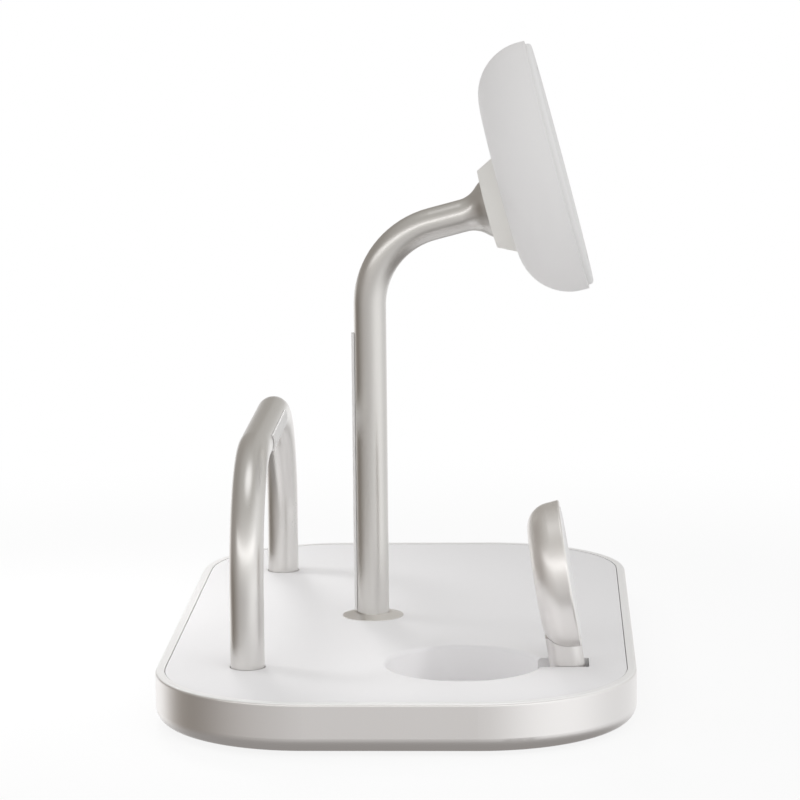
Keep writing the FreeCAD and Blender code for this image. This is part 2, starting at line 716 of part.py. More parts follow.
def make_socket():
    """Ball socket: rear collar, liner cup, pressure ring, spring washer, cap and the nut in the bowl."""
    collar = new_piece("head_collar")
    opening = f"sqrt({SEAT} ^ 2 - collar_back ^ 2)"
    revolve(collar, [(opening, "-collar_back"), ("collar_rear_radius", "-collar_back"),
                     ("collar_front_radius", "bowl_back"), (SPIGOT_RADIUS, "bowl_back"),
                     (SPIGOT_RADIUS, SPIGOT_TOP), (SOCKET_BORE, SPIGOT_TOP), (SOCKET_BORE, "0"),
                     (SEAT, "0"), Arc(SEAT, -1)])
    liner = new_piece("ball_liner")
    revolve(liner, [("wire_hole", f"sqrt({SEAT} ^ 2 - wire_hole ^ 2)"), Arc(SEAT, -1),
                    (f"{SEAT} * sin(liner_edge)", f"{SEAT} * cos(liner_edge)"),
                    (f"{LINER_OUTER} * sin(liner_edge)", f"{LINER_OUTER} * cos(liner_edge)"),
                    Arc(LINER_OUTER, 1), ("wire_hole", f"sqrt({LINER_OUTER} ^ 2 - wire_hole ^ 2)")])
    presser = new_piece("pressure_ring")
    mouth, edge = f"{RING_SEAT} * sin(ring_mouth)", f"{RING_SEAT} * sin(ring_edge)"
    revolve(presser, [(mouth, f"{RING_SEAT} * cos(ring_mouth)"), Arc(RING_SEAT, -1),
                      (edge, f"{RING_SEAT} * cos(ring_edge)"),
                      (f"{SOCKET_BORE} - spin_gap", f"{RING_SEAT} * cos(ring_edge)"),
                      (f"{SOCKET_BORE} - spin_gap", RING_FRONT), (mouth, RING_FRONT)])
    washer = ring("spring_washer", "washer_hole", f"{SOCKET_BORE} - spin_gap", WASHER_Z, CAP_Z)
    cap = ring("socket_cap", "cap_hole", f"{SOCKET_BORE} - thread_fit", CAP_Z, SPIGOT_TOP)
    inside = "bowl_back + bowl_wall"
    thread = f"{SPIGOT_RADIUS} + thread_fit"
    nut = ring("collar_nut", thread, "nut_radius", inside, f"{inside} + nut_height")
    for body in (collar, liner, presser, washer, cap, nut):
        place(body, BALL_X, 0, BALL_Z, "90 - head_rise")


def make_head():
    """Phone head: the bowl, the front pad with its lip, and the charging stack glued behind the pad."""
    bowl = new_piece("head_bowl")
    inside = "bowl_back + bowl_wall"
    revolve(bowl, [("0", "bowl_back"), ("bowl_radius", "bowl_back", "bowl_round"),
                   ("bowl_radius", BOWL_RIM, "bowl_rim_round"), (BOWL_INSIDE, BOWL_RIM),
                   (BOWL_INSIDE, inside, "bowl_round - bowl_wall"), ("0", inside)])
    drawing = draw(bowl, "XY_Plane", "bowl_back")
    circle(drawing, "head_offset", "0", f"{SPIGOT_RADIUS} + thread_fit")
    cut(bowl, drawing, "bowl_wall", Reversed=True)
    front = new_piece("front_pad")
    lip = f"({BOWL_INSIDE} - pad_fit)"
    top = f"({BOWL_RIM} + pad_thickness)"
    sunk = f"{top} - groove_depth"
    revolve(front, [("0", BOWL_RIM), (f"{lip} - pad_lip_wall", BOWL_RIM),
                    (f"{lip} - pad_lip_wall", f"{BOWL_RIM} - pad_lip"), (lip, f"{BOWL_RIM} - pad_lip"),
                    (lip, BOWL_RIM), ("pad_radius", BOWL_RIM), ("pad_radius", top, "pad_round"),
                    ("groove_radius + groove_width", top), ("groove_radius + groove_width", sunk),
                    ("groove_radius", sunk), ("groove_radius", top), ("0", top)])
    coil_back = f"({BOWL_RIM} - phone_coil_thickness)"
    ferrite_back = f"({coil_back} - phone_ferrite_thickness)"
    coil = ring("phone_coil", "phone_coil_inner", "phone_coil_outer", coil_back, BOWL_RIM)
    ferrite = ring("phone_ferrite", "0", "phone_coil_outer", ferrite_back, coil_back)
    board_back = f"{ferrite_back} - head_board_thickness"
    board = ring("head_board", "0", "head_board_radius", board_back, ferrite_back)
    middle = (f"{BALL_X} - head_offset * sin(head_rise)", 0, f"{BALL_Z} + head_offset * cos(head_rise)")
    for body in (bowl, front, coil, ferrite, board, make_magnets()):
        place(body, *middle, "90 - head_rise")


def make_magnets():
    """Ring of arc magnets: one sector, repeated round the coil."""
    body = new_piece("magnet_ring")
    half = "(magnet_share * 180 / magnet_count)"
    drawing = draw(body, "XY_Plane", f"{BOWL_RIM} - magnet_thickness")
    inner, outer = [(f"{radius} * cos({half})", f"{radius} * sin({half})")
                    for radius in ("magnet_inner", "magnet_outer")]
    outline(drawing, [(inner[0], f"-{inner[1]}"), (outer[0], f"-{outer[1]}"), Arc("magnet_outer", 1),
                      outer, inner, Arc("magnet_inner", -1)])
    pad(body, drawing, "magnet_thickness")
    pattern = body.newObject("PartDesign::PolarPattern", "magnet_pattern")
    pattern.Originals = [body.Tip]
    pattern.Axis = (drawing, ["N_Axis"])
    pattern.Angle = 360
    bind(pattern, "Occurrences", "magnet_count")
    body.Tip = pattern
    doc.recompute()
    return body


def make_watch():
    """Watch charger: round shell on a short stem, the dished face, and the charging stack behind it."""
    half, inside = "(puck_thickness / 2)", "(puck_radius - puck_wall)"
    shell = new_piece("watch_shell")
    revolve(shell, [("0", f"-{half}"), (PUCK_BACK, f"-{half}", "puck_round"),
                    ("puck_radius", half, "puck_front_round"), (inside, half),
                    (inside, f"-{half} + puck_wall", "puck_round - puck_wall"),
                    ("0", f"-{half} + puck_wall")])
    drawing = draw(shell, "YZ_Plane", "puck_radius - tenon_depth")
    width, length = "2 * (tenon_half_depth + stem_fit)", "2 * (tenon_half_width + stem_fit)"
    rectangle(drawing, width, length, "tenon_corner")
    cut(shell, drawing, "tenon_depth + cut_margin", Reversed=True)
    face = new_piece("watch_face")
    rim = f"({inside} - face_fit)"
    revolve(face, [("0", FACE_BACK), (rim, FACE_BACK), (rim, FACE_FRONT, "face_round"),
                   ("dish_radius", FACE_FRONT),
                   Arc("(dish_radius ^ 2 + dish_depth ^ 2) / (2 * dish_depth)", -1),
                   ("0", f"{FACE_FRONT} - dish_depth")])
    coil_back = f"({FACE_BACK} - watch_coil_thickness)"
    coil = ring("watch_coil", "watch_coil_inner", "watch_coil_outer", coil_back, FACE_BACK)
    ferrite_back = f"{coil_back} - watch_ferrite_thickness"
    ferrite = ring("watch_ferrite", "watch_coil_inner", "watch_coil_outer", ferrite_back, coil_back)
    magnet_back = f"{FACE_BACK} - watch_magnet_thickness"
    magnet = ring("watch_magnet", "0", "watch_magnet_radius", magnet_back, FACE_BACK)
    for body in (shell, face, coil, ferrite, magnet):
        place(body, PUCK_X, WATCH_Y, PUCK_Z, "90 - watch_lean")
    make_stem()


def make_stem():
    """Stem: its end is rounded about the hinge pin, its top hugs the shell, a tenon goes into the shell."""
    stem = new_piece("watch_stem")
    rim = "(watch_reach - puck_radius)"
    drawing = draw(stem, "XY_Plane", "-stem_half_width")
    rectangle(drawing, "2 * stem_half_width", "2 * stem_half_depth", "stem_corner")
    pad(stem, drawing, f"stem_half_width + {rim} + stem_ledge")
    reach = "(stem_half_width + cut_margin)"
    drawing = draw(stem, "XZ_Plane")
    outline(drawing, [(f"-{reach}", f"-{reach}"), (reach, f"-{reach}"), (reach, "0"),
                      ("stem_half_width", "0"), Arc("stem_half_width", -1), ("0", "-stem_half_width"),
                      Arc("stem_half_width", -1), ("-stem_half_width", "0"), (f"-{reach}", "0")])
    cut(stem, drawing, "2 * (stem_half_depth + cut_margin)", Midplane=True)
    drawing = draw(stem, "XZ_Plane")
    circle(drawing, "0", "0", "hinge_pin_radius + hinge_pin_gap")
    cut(stem, drawing, "2 * (stem_half_depth + cut_margin)", Midplane=True)
    drawing = draw(stem, "XZ_Plane", 0, "watch_reach")
    back, front = "(-puck_thickness / 2 - stem_fit)", "(puck_thickness / 2 + cut_margin)"
    outline(drawing, [(back, "0"), (back, f"-({PUCK_BACK} + stem_fit)", "puck_round + stem_fit"),
                      (front, "-(puck_radius + stem_fit + cut_margin * tan(puck_draft))"), (front, "0")])
    add(stem, "Groove", drawing, ReferenceAxis=(drawing, ["H_Axis"]), Angle=360)
    drawing = draw(stem, "XY_Plane", f"{rim} - cut_margin")
    rectangle(drawing, "2 * tenon_half_width", "2 * tenon_half_depth", "tenon_corner")
    pad(stem, drawing, "cut_margin + tenon_depth")
    place(stem, HINGE_X, WATCH_Y, HINGE_Z, "-watch_lean")


def bracket_screw_places():
    return [(HINGE_X, f"{WATCH_Y} + {side} * bracket_screw_along") for side in (-1, 1)]


def make_hinge():
    """Hinge bracket on the tray floor, with an ear on each side of the stem, and the pin through them."""
    body = new_piece("hinge_bracket")
    drawing = draw(body, "XY_Plane", FLOOR_TOP)
    rectangle(drawing, "2 * ear_radius", "2 * bracket_half_length", "slot_corner")
    pad(body, drawing, "bracket_base")
    inner = "(stem_half_depth + hinge_side_gap)"
    for low in (inner, f"-{inner} - ear_thickness"):
        drawing = draw(body, "XZ_Plane", low)
        top = f"{HINGE_Z} + ear_radius"
        outline(drawing, [("-ear_radius", FLOOR_TOP), ("ear_radius", FLOOR_TOP),
                          ("ear_radius", top, "ear_round"), ("-ear_radius", top, "ear_round")])
        pad(body, drawing, "ear_thickness")
    drawing = draw(body, "XZ_Plane")
    circle(drawing, "0", HINGE_Z, "hinge_pin_radius + hinge_pin_gap")
    cut(body, drawing, "2 * bracket_half_length", Midplane=True)
    drawing = draw(body, "XY_Plane", f"{FLOOR_TOP} + bracket_base")
    holes = [("0", f"{side} * bracket_screw_along") for side in (-1, 1)]
    circles(drawing, holes, "socket_screw_radius + screw_fit")
    cut(body, drawing, "bracket_base")
    place(body, HINGE_X, WATCH_Y, 0)
    rod = new_piece("hinge_pin")
    drawing = draw(rod, "XZ_Plane", f"-{inner} - ear_thickness")
    circle(drawing, "0", "0", "hinge_pin_radius")
    pad(rod, drawing, f"2 * ({inner} + ear_thickness)")
    place(rod, HINGE_X, WATCH_Y, HINGE_Z)


def make_electronics():
    """Main board with its parts and inlet, the earbud coil under the plate, and the ballast plate."""
    board = new_piece("main_board")
    drawing = draw(board, "XY_Plane", BOARD_UNDER)
    rectangle(drawing, BOARD_WIDTH, BOARD_LENGTH, "board_corner", BOARD_X)
    pad(board, drawing, "board_thickness")
    drawing = draw(board, "XY_Plane", BOARD_TOP)
    circles(drawing, board_screw_places(), "board_screw_radius + screw_fit")
    cut(board, drawing, "board_thickness")
    for part in ("chip", "choke"):
        body = new_piece(f"board_{part}s")
        drawing = draw(body, "XY_Plane", BOARD_TOP)
        for end in (-1, 1):
            rectangle(drawing, f"{part}_side", f"{part}_side", f"{part}_corner", BOARD_X,
                      f"{end} * {part}_along")
        pad(body, drawing, f"{part}_height")
    make_inlet()
    coil_under = f"{PLATE_UNDER} - earbud_coil_thickness"
    coil = ring("earbud_coil", "earbud_coil_inner", "earbud_coil_outer", coil_under, PLATE_UNDER)
    ferrite_under = f"{coil_under} - earbud_ferrite_thickness"
    ferrite = ring("earbud_ferrite", "0", "earbud_ferrite_radius", ferrite_under, coil_under)
    for body in (coil, ferrite):
        place(body, WELL_X, f"-{WATCH_Y}", 0)
    ballast = new_piece("ballast_plate")
    drawing = draw(ballast, "XY_Plane", FLOOR_TOP)
    rectangle(drawing, "ballast_width", f"{BALLAST_HIGH} - {BALLAST_LOW}", "ballast_corner",
              "base_width / 2 - ballast_setback", f"({BALLAST_LOW} + {BALLAST_HIGH}) / 2")
    pad(ballast, drawing, "ballast_thickness")


def make_inlet():
    """Power inlet: an oval shell with a tongue, soldered on the board behind the hole in the tray."""
    inlet = new_piece("usb_inlet")
    mouth = f"({CAVITY_BACK} - ledge_width)"
    drawing = draw(inlet, "YZ_Plane", mouth)
    rectangle(drawing, "inlet_width", "inlet_height", "inlet_corner", up=INLET_Z)
    pad(inlet, drawing, "inlet_length")
    drawing = draw(inlet, "YZ_Plane", mouth)
    rectangle(drawing, "inlet_width - 2 * inlet_wall", "inlet_height - 2 * inlet_wall",
              "inlet_corner - inlet_wall", up=INLET_Z)
    cut(inlet, drawing, "inlet_length - inlet_back", Reversed=True)
    drawing = draw(inlet, "YZ_Plane", f"{mouth} + inlet_length - inlet_back")
    rectangle(drawing, "tongue_width", "tongue_height", "tongue_corner", up=INLET_Z)
    pad(inlet, drawing, "tongue_length", Reversed=True)


make_tray()
make_plate()
make_foot_mat()
make_sockets()
make_post()
make_rail()
make_socket()
make_head()
make_watch()
make_hinge()
make_electronics()
make_fasteners()
doc.recompute()

for item in doc.Objects:
    if {"Invalid", "Error"} & set(item.State):
        raise RuntimeError(f"{item.Label} failed: {item.State}")
for body in pieces:
    if body.Shape.isNull() or not body.Shape.isValid() or not body.Shape.Solids:
        raise RuntimeError(f"{body.Label} has no valid solid")

os.makedirs("parts", exist_ok=True)
for body in pieces:
    body.Shape.exportStep(f"parts/{body.Label}.step")
    print(body.Label, len(body.Shape.Solids), round(body.Shape.Volume, 1))
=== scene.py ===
import math

import bmesh
import bpy
from mathutils import Matrix, Vector


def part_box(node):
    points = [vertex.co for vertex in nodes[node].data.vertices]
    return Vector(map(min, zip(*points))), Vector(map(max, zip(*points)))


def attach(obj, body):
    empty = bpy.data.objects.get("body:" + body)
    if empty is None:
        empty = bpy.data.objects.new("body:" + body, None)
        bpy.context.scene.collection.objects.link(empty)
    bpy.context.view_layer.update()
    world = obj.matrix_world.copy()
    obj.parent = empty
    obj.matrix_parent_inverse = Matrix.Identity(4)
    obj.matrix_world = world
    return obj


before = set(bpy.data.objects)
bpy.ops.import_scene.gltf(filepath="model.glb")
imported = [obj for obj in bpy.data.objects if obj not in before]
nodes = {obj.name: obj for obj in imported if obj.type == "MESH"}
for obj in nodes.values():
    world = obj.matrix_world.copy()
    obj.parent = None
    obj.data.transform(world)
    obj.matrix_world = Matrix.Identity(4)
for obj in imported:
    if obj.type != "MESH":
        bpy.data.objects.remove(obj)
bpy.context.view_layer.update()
scene = bpy.context.scene

# lengths are in metres and angles in degrees, but the lens and its sensor are in millimetres
cameraView = {"place": (0.032263, -0.787865, 0.182891), "yaw": 2.4007, "pitch": 8.6737, "roll": -0.5665,
              "lens": 153.53, "sensor": 36}


def placeCamera(view):
    data = bpy.data.cameras.new("photoCamera")
    data.lens = view["lens"]
    data.sensor_width = view["sensor"]
    camera = bpy.data.objects.new("photoCamera", data)
    scene.collection.objects.link(camera)
    yaw, pitch, roll = (math.radians(view[turn]) for turn in ("yaw", "pitch", "roll"))
    aim = Matrix.Rotation(yaw, 4, "Z") @ Matrix.Rotation(math.pi / 2 - pitch, 4, "X")
    aim = aim @ Matrix.Rotation(roll, 4, "Z")
    camera.matrix_world = Matrix.Translation(view["place"]) @ aim
    scene.camera = camera


placeCamera(cameraView)
print("camera: placed")


def rgba(colour, factor=1.0):
    return (*[part * factor for part in colour], 1)


class Flow:  # one output in a node tree; sums and products of flows add Math nodes
    def __init__(self, tree, socket=None):
        self.tree = tree
        self.socket = socket

    def node(self, kind, settings=None, inputs=None, output=0):
        made = self.tree.nodes.new(kind)
        for name, setting in (settings or {}).items():
            if name == "stops":
                ramp = made.color_ramp.elements  # it comes with a stop at each end
                ramp[0].color, ramp[1].color = rgba(setting[0][1]), rgba(setting[-1][1])
                for position, colour in setting[1:-1]:
                    ramp.new(position).color = rgba(colour)
            elif name == "interpolation":
                made.color_ramp.interpolation = setting
            else:
                setattr(made, name, setting)
        for name, value in (inputs or {}).items():
            if isinstance(value, Flow):
                self.tree.links.new(value.socket, made.inputs[name])
            else:
                made.inputs[name].default_value = value
        return Flow(self.tree, made.outputs[output])

    def math(self, operation, first, second=0.0):
        return self.node("ShaderNodeMath", {"operation": operation}, {0: first, 1: second})

    def __add__(self, other):
        return self.math("ADD", self, other)

    def __radd__(self, other):
        return self.math("ADD", other, self)

    def __sub__(self, other):
        return self.math("SUBTRACT", self, other)

    def __rsub__(self, other):
        return self.math("SUBTRACT", other, self)

    def __mul__(self, other):
        return self.math("MULTIPLY", self, other)

    def __rmul__(self, other):
        return self.math("MULTIPLY", other, self)

    def __truediv__(self, other):
        return self.math("DIVIDE", self, other)

    def __rtruediv__(self, other):
        return self.math("DIVIDE", other, self)

    def between(self, low, high):  # colours mixed by this flow
        return self.node("ShaderNodeMix", {"data_type": "RGBA"}, {0: self, 6: low, 7: high}, 2)

    def steps(self, start, end, low=0.0, high=1.0):  # smooth rise from low to high
        return self.node("ShaderNodeMapRange", {"interpolation_type": "SMOOTHSTEP"},
                         {"Value": self, "From Min": start, "From Max": end, "To Min": low, "To Max": high})

    def along(self, axis):  # one part of a place
        return self.node("ShaderNodeSeparateXYZ", None, {"Vector": self}, axis)

    def noise(self, place, scale, detail=2.0, roughness=0.5):
        return self.node("ShaderNodeTexNoise", None,
                         {"Vector": place, "Scale": scale, "Detail": detail, "Roughness": roughness})

    def bump(self, height, depth, strength):
        return self.node("ShaderNodeBump", None, {"Height": height, "Distance": depth, "Strength": strength})


def newFinish(name):
    material = bpy.data.materials.new(name)
    material.use_nodes = True
    shader = material.node_tree.nodes["Principled BSDF"]
    flow = Flow(material.node_tree)
    place = flow.node("ShaderNodeTexCoord", None, None, "Object")
    return material, shader, flow, place


def fill(shader, fixed, varying):  # plain values on the sockets, flows linked to them
    for name, value in fixed.items():
        shader.inputs[name].default_value = value
    for name, flow in varying.items():
        flow.tree.links.new(flow.socket, shader.inputs[name])


def drift(noise, look):  # the colour, a little darker here and there
    return noise.between(rgba(look["colour"], 1 - look["shift"]), rgba(look["colour"]))


def boxOf(name):
    low, high = (Vector(corner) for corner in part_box(name))
    return {"low": low, "middle": (low + high) / 2}


finishes = {}
inlet = boxOf("usb_inlet")

# what the metals share, unless one says otherwise
plainMetal = {"shift": 0.03, "cloudScale": 60, "grainScale": 2200, "grainDetail": 3.0, "grainDecay": 0.6,
              "grainDepth": 0.00002, "roughGrain": 0.05, "roughCloud": 0.04, "bump": 0.05}
metals = {
    "trayMetal": {"colour": (0.89, 0.873, 0.863), "shift": 0.02, "cloudScale": 35, "grainScale": 2600,
                  "rough": 0.35, "roughGrain": 0.04, "roughCloud": 0.03, "bump": 0.03,
                  "land": (0.0111, 0.01135), "landColour": (0.9, 0.895, 0.89), "landDull": 0.85},
    "tubeMetal": {"colour": (0.71, 0.695, 0.67), "rough": 0.29},
    # the rail wears the tubes' metal painted brighter: painted light on the rail
    "railMetalPaintedLight": {"colour": (0.75, 0.735, 0.715), "rough": 0.29},
    "puckMetal": {"colour": (0.9, 0.88, 0.86), "rough": 0.36},
    # the stem wears the puck's metal painted darker: painted shade under the puck
    "stemMetalPaintedShade": {"colour": (0.78, 0.762, 0.75), "rough": 0.36},
    "bareSteel": {"colour": (0.56, 0.56, 0.57), "shift": 0.1, "cloudScale": 120, "grainScale": 3000,
                  "rough": 0.3, "roughGrain": 0.12, "roughCloud": 0.08, "bump": 0.2},
    "platedSteel": {"colour": (0.72, 0.72, 0.73), "shift": 0.06, "cloudScale": 150, "grainScale": 3500,
                    "grainDepth": 0.00001, "rough": 0.22, "roughGrain": 0.08, "roughCloud": 0.05,
                    "bump": 0.1},
    "inletSteel": {"colour": (0.72, 0.72, 0.73), "shift": 0.06, "cloudScale": 300, "grainScale": 3500,
                   "grainDepth": 0.00001, "rough": 0.25, "roughGrain": 0.08, "roughCloud": 0.05,
                   "bump": 0.1, "core": (inlet["middle"].yz, (0.0040, 0.0011), 0.0001),
                   "coreColour": (0.02, 0.02, 0.022)},
    "contactGold": {"colour": (0.85, 0.62, 0.26), "shift": 0.05, "cloudScale": 800, "grainScale": 6000,
                    "grainDepth": 0.000005, "rough": 0.25, "roughCloud": 0.05},
}
coils = {"phone_coil": 0.0011, "watch_coil": 0.0006, "earbud_coil": 0.0008}  # how far apart the turns are
copperWire = {"colour": (0.78, 0.36, 0.16), "shift": 0.15, "cloudScale": 300, "grainScale": 4000,
              "grainDepth": 0.00001, "rough": 0.3, "roughGrain": 0.1, "roughCloud": 0.1, "bump": 0.1,
              "gapPaintedShade": 0.35, "pitchPerDepth": 3, "wireBump": 1.0}


def satinMetal(name, look):  # blasted and anodised metal: fine grain, a few softer and glossier clouds
    material, shader, flow, place = newFinish(name)
    clouds = flow.noise(place, look["cloudScale"])
    grain = flow.noise(place, look["grainScale"], look["grainDetail"], look["grainDecay"])
    colour = drift(clouds, look)
    rough = look["rough"] + (grain - 0.5) * look["roughGrain"] + (clouds - 0.5) * look["roughCloud"]
    relief = (grain, look["grainDepth"], look["bump"])
    varying = {"Base Color": colour, "Roughness": rough}
    if "land" in look:  # the narrow land on top of the rim is left pale and dull
        height = place.along("Z").steps(*look["land"])
        varying["Base Color"] = height.between(colour, rgba(look["landColour"]))
        varying["Metallic"] = 1 - height * look["landDull"]
    if "core" in look:  # the tongue and the wall behind it are dark plastic
        middle, reach, edge = look["core"]
        sides = []
        for axis, centre, half in zip("YZ", middle, reach):
            away = flow.math("ABSOLUTE", place.along(axis) - centre)
            sides.append(away.steps(half, half + edge))
        shell = flow.math("MAXIMUM", *sides)
        varying["Base Color"] = shell.between(rgba(look["coreColour"]), colour)
        varying["Metallic"] = shell
    if "turns" in look:  # wire wound round the coil's middle, with painted shade in the grooves between the turns
        middle, pitch = look["turns"]
        away = flow.node("ShaderNodeVectorMath", {"operation": "DISTANCE"}, {0: place, 1: middle}, "Value")
        wire = flow.math("SINE", away * (2 * math.pi / pitch)) * 0.5 + 0.5
        varying["Base Color"] = wire.between(rgba(look["colour"], look["gapPaintedShade"]), colour)
        relief = (wire, pitch / look["pitchPerDepth"], look["wireBump"])
    varying["Normal"] = flow.bump(*relief)
    fill(shader, {"Metallic": 1.0}, varying)
    return material


for name, look in metals.items():
    finishes[name] = satinMetal(name, {**plainMetal, **look})
for coil, pitch in coils.items():
    wound = {"turns": (boxOf(coil)["middle"], pitch)}
    finishes[coil] = satinMetal(coil.replace("_c", "C"), {**plainMetal, **copperWire, **wound})

# what the plastics share, unless one says otherwise
plainPlastic = {"grainScale": 2400, "grainDetail": 2.0, "grainDecay": 0.55, "grainDepth": 0.00003,
                "roughGrain": 0.1, "bump": 0.12, "specular": 0.4, "sheen": 0.0, "sheenRough": 0.6}
plastics = {
    # the plate's well gets a paler colour than its face: painted light, lifting the shade in the well
    "plateWhite": {"colour": (0.818, 0.811, 0.817), "shift": 0.01, "cloudScale": 25, "rough": 0.5,
                   "roughGrain": 0.12, "sunk": (0.0100, 0.0112), "sunkPaintedLight": (0.875, 0.867, 0.873)},
    "headWhite": {"colour": (0.815, 0.804, 0.8), "shift": 0.015, "cloudScale": 30, "rough": 0.55,
                  "roughGrain": 0.12},
    "collarWhite": {"colour": (0.82, 0.804, 0.77), "shift": 0.015, "cloudScale": 60, "rough": 0.5},
    "padWhite": {"colour": (0.83, 0.825, 0.82), "shift": 0.02, "cloudScale": 40, "grainScale": 3200,
                 "grainDepth": 0.00002, "rough": 0.66, "bump": 0.15, "specular": 0.3, "sheen": 0.08},
    "softWhite": {"colour": (0.84, 0.83, 0.82), "shift": 0.02, "cloudScale": 80, "grainScale": 3000,
                  "rough": 0.7, "bump": 0.2, "specular": 0.25, "sheen": 0.1},
    "nylonNatural": {"colour": (0.72, 0.70, 0.63), "shift": 0.04, "cloudScale": 90, "grainScale": 2500,
                     "rough": 0.45, "bump": 0.1, "specular": 0.45},
    "ferriteGrey": {"colour": (0.07, 0.07, 0.075), "shift": 0.3, "cloudScale": 400, "grainScale": 3000,
                    "grainDepth": 0.00004, "rough": 0.6, "roughGrain": 0.2, "bump": 0.4},
    "chipBlack": {"colour": (0.03, 0.03, 0.032), "shift": 0.2, "cloudScale": 200, "grainScale": 4000,
                  "grainDepth": 0.00002, "rough": 0.5, "roughGrain": 0.2, "bump": 0.3, "specular": 0.5},
}


def moulded(name, look):  # plastic or silicone with a spark-eroded texture
    material, shader, flow, place = newFinish(name)
    colour = drift(flow.noise(place, look["cloudScale"]), look)
    texture = flow.noise(place, look["grainScale"], look["grainDetail"], look["grainDecay"])
    if "sunk" in look:  # the walls and floor of the well are painted paler than the face round it: painted light that lifts the shade in the well
        colour = place.along("Z").steps(*look["sunk"]).between(rgba(look["sunkPaintedLight"]), colour)
    fill(shader,
         {"Specular IOR Level": look["specular"], "Sheen Weight": look["sheen"],
          "Sheen Roughness": look["sheenRough"]},
         {"Base Color": colour, "Roughness": look["rough"] + (texture - 0.5) * look["roughGrain"],
          "Normal": flow.bump(texture, look["grainDepth"], look["bump"])})
    return material


for name, look in plastics.items():
    finishes[name] = moulded(name, {**plainPlastic, **look})

matSilicone = {"colour": (0.2, 0.2, 0.205), "shift": 0.12, "dustScale": 90, "dustDetail": 3.0,
               "dimpleScale": 650, "dimpleEdge": (0.1, 0.45), "dimpleDepth": 0.0001, "bump": 0.8,
               "rough": 0.72, "dimpleRough": 0.1, "specular": 0.3}


def rubberMat(name, look):  # small moulded dimples on dark silicone
    material, shader, flow, place = newFinish(name)
    cells = flow.node("ShaderNodeTexVoronoi", {"feature": "F1"},
                      {"Vector": place, "Scale": look["dimpleScale"], "Randomness": 0.0})
    dimple = cells.steps(*look["dimpleEdge"])
    dust = flow.noise(place, look["dustScale"], look["dustDetail"])
    colour = dust.between(rgba(look["colour"], 1 - look["shift"]), rgba(look["colour"], 1 + look["shift"]))
    fill(shader, {"Specular IOR Level": look["specular"]},
         {"Base Color": colour, "Roughness": look["rough"] + dimple * look["dimpleRough"],
          "Normal": flow.bump(dimple, look["dimpleDepth"], look["bump"])})
    return material


finishes["matGrey"] = rubberMat("matGrey", matSilicone)

solderMask = {"colour": (0.02, 0.13, 0.07), "runColour": (0.05, 0.24, 0.12), "runScale": 260,
              "runWidth": 0.012, "runSoft": 0.4, "offset": 0.37, "squash": 0.7, "runDepth": 0.00004,
              "bump": 0.6, "rough": 0.35, "runRough": 0.1, "coat": 0.4}


def circuitBoard(name, look):  # solder mask over copper runs
    material, shader, flow, place = newFinish(name)
    runs = flow.node("ShaderNodeTexBrick", {"offset": look["offset"], "squash": look["squash"]},
                     {"Vector": place, "Scale": look["runScale"], "Mortar Size": look["runWidth"],
                      "Mortar Smooth": look["runSoft"]}, "Fac")
    colour = runs.between(rgba(look["colour"]), rgba(look["runColour"]))
    fill(shader, {"Coat Weight": look["coat"]},
         {"Base Color": colour, "Roughness": look["rough"] + runs * look["runRough"],
          "Normal": flow.bump(runs, look["runDepth"], look["bump"])})
    return material


finishes["boardGreen"] = circuitBoard("boardGreen", solderMask)

wearsFinish = {
    "trayMetal": ["base_tray"],
    "tubeMetal": ["post_arm", "arm_ball"],
    "railMetalPaintedLight": ["tablet_rail"],
    "puckMetal": ["watch_shell", "post_collar"],
    "stemMetalPaintedShade": ["watch_stem"],
    "bareSteel": ["ballast_plate", "spring_washer", "hinge_bracket", "hinge_pin", "post_socket",
                  "rail_sockets"],
    "inletSteel": ["usb_inlet"],
    "platedSteel": ["plate_screws", "socket_screws", "bracket_screws", "board_screws", "magnet_ring",
                    "watch_magnet", "collar_nut"],
    **{coil: [coil] for coil in coils},
    "plateWhite": ["top_plate"],
    "headWhite": ["head_bowl"],
    "collarWhite": ["head_collar"],
    "padWhite": ["front_pad", "watch_face"],
    "softWhite": ["post_strip", "rail_pad"],
    "nylonNatural": ["ball_liner", "pressure_ring", "socket_cap"],
    "ferriteGrey": ["phone_ferrite", "watch_ferrite", "earbud_ferrite", "board_chokes"],
    "chipBlack": ["board_chips"],
    "matGrey": ["foot_mat"],
    "boardGreen": ["main_board", "head_board"],
}
bare = set(nodes)
for finish, names in wearsFinish.items():
    bare -= set(names)
    for name in names:
        for slot in nodes[name].material_slots:
            slot.material = finishes[finish]
print("finishes:", len(finishes), "materials, nodes without one:", sorted(bare))


def meshObject(name, mesh, material):  # a finished bmesh becomes an object in the scene
    data = bpy.data.meshes.new(name)
    mesh.to_mesh(data)
    mesh.free()
    data.materials.append(material)
    made = bpy.data.objects.new(name, data)
    scene.collection.objects.link(made)
    return made


# gold strips on both faces of the inlet's tongue
contacts = {"count": 12, "pitch": 0.0005, "width": 0.00025, "length": 0.0032, "height": 0.00006,
            "setIn": 0.0014, "tongueHalf": 0.00035, "sink": 0.00002, "nose": 0.00004, "noseSteps": 2}


